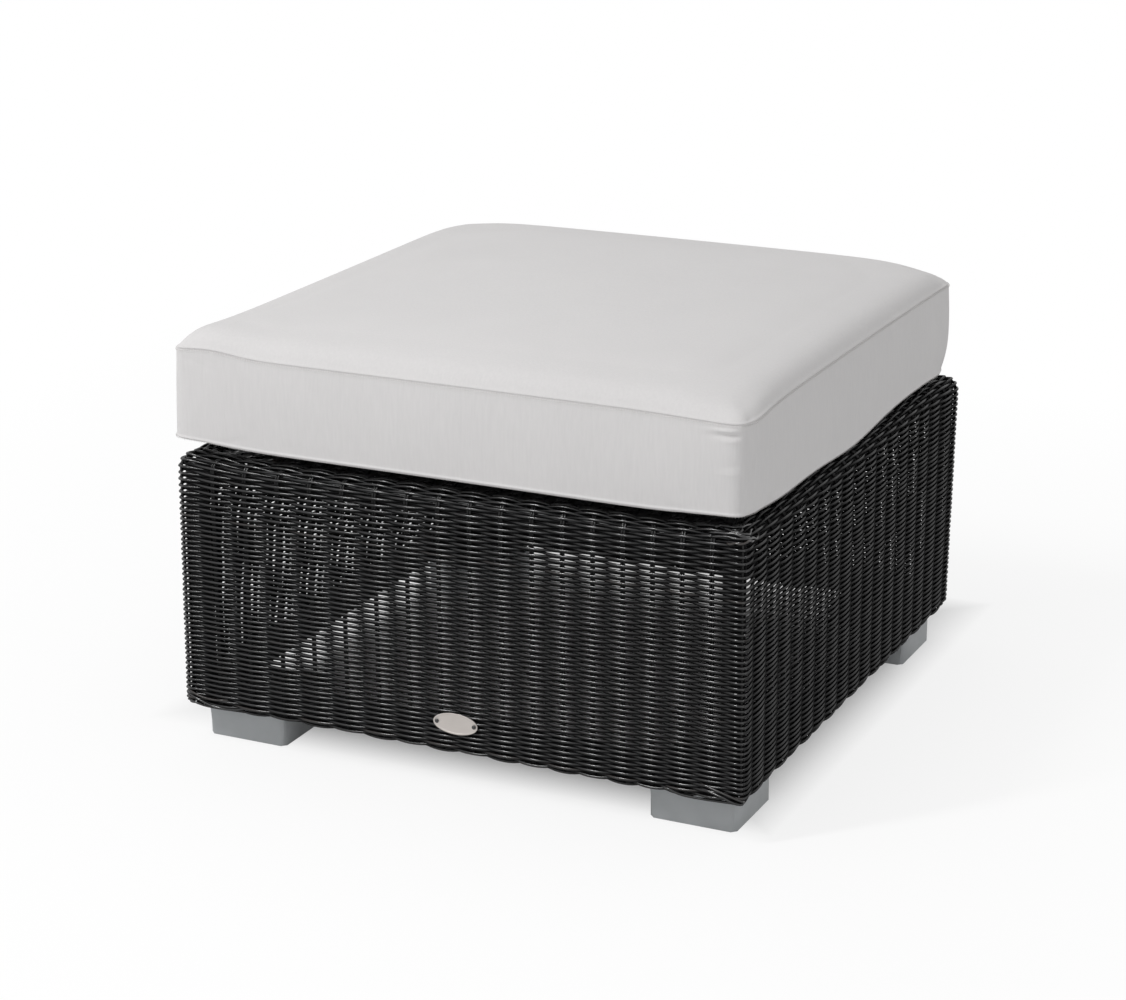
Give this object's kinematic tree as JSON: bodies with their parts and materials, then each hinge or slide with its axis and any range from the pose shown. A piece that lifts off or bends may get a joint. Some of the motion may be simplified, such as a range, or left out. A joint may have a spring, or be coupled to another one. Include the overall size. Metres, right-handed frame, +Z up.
{
  "type": "outdoor ottoman footstool",
  "caption": "Square outdoor footstool: dark woven resin base on an aluminium tube frame with grey block feet and a loose pale box cushion with a zipped cover.",
  "frame": {"origin": "on the floor under the middle of the woven base", "axes": "+Z up, the front face with the oval plate looks towards -Y, +X to its right as seen from the front"},
  "size_m": [0.7, 0.7066, 0.508],
  "materials": {
    "weave": "satin",
    "frame_tube": "matte",
    "foot": "satin",
    "fastener": "satin",
    "badge": "satin",
    "cover_fabric": "matte",
    "zip_nylon": "matte",
    "foam": "matte"
  },
  "bodies": {
    "base": {"wicker_front": "weave", "wicker_right": "weave", "wicker_back": "weave", "wicker_left": "weave", "wicker_deck": "weave", "badge_tie_left": "weave", "badge_tie_right": "weave", "post_front_left": "frame_tube", "post_front_right": "frame_tube", "post_back_left": "frame_tube", "post_back_right": "frame_tube", "top_rail_front": "frame_tube", "top_rail_right": "frame_tube", "top_rail_back": "frame_tube", "top_rail_left": "frame_tube", "bottom_rail_front": "frame_tube", "bottom_rail_right": "frame_tube", "bottom_rail_back": "frame_tube", "bottom_rail_left": "frame_tube", "deck_slat_1": "frame_tube", "deck_slat_2": "frame_tube", "deck_slat_3": "frame_tube", "corner_plate_front_left": "frame_tube", "corner_plate_front_right": "frame_tube", "corner_plate_back_left": "frame_tube", "corner_plate_back_right": "frame_tube", "foot_front_left": "foot", "foot_front_right": "foot", "foot_back_left": "foot", "foot_back_right": "foot", "foot_screw_front_left": "fastener", "foot_screw_front_right": "fastener", "foot_screw_back_left": "fastener", "foot_screw_back_right": "fastener", "foot_nut_front_left": "fastener", "foot_nut_front_right": "fastener", "foot_nut_back_left": "fastener", "foot_nut_back_right": "fastener", "badge_plate": "badge"},
    "cushion": {"foam_core": "foam", "cover_top": "cover_fabric", "cover_bottom": "cover_fabric", "boxing_band": "cover_fabric", "zip_strip_lower": "cover_fabric", "zip_strip_upper": "cover_fabric", "zip_chain": "zip_nylon"},
    "zip_slider": {"zip_slider": "fastener"},
    "zip_pull": {"zip_pull": "fastener"}
  },
  "joints": [
    {"name": "cushion_lift", "type": "slide", "parent": "base", "child": "cushion", "axis": [0, 0, 1], "range_m": [0, 0.15]},
    {"name": "zip_slide", "type": "slide", "parent": "cushion", "child": "zip_slider", "axis": [1, 0, 0], "range_m": [0, 0.636]},
    {"name": "zip_pull_swing", "type": "hinge", "parent": "zip_slider", "child": "zip_pull", "pos_m": [-0.318, 0.3514, 0.4125], "axis": [1, 0, 0], "range_deg": [0, 170]}
  ]
}
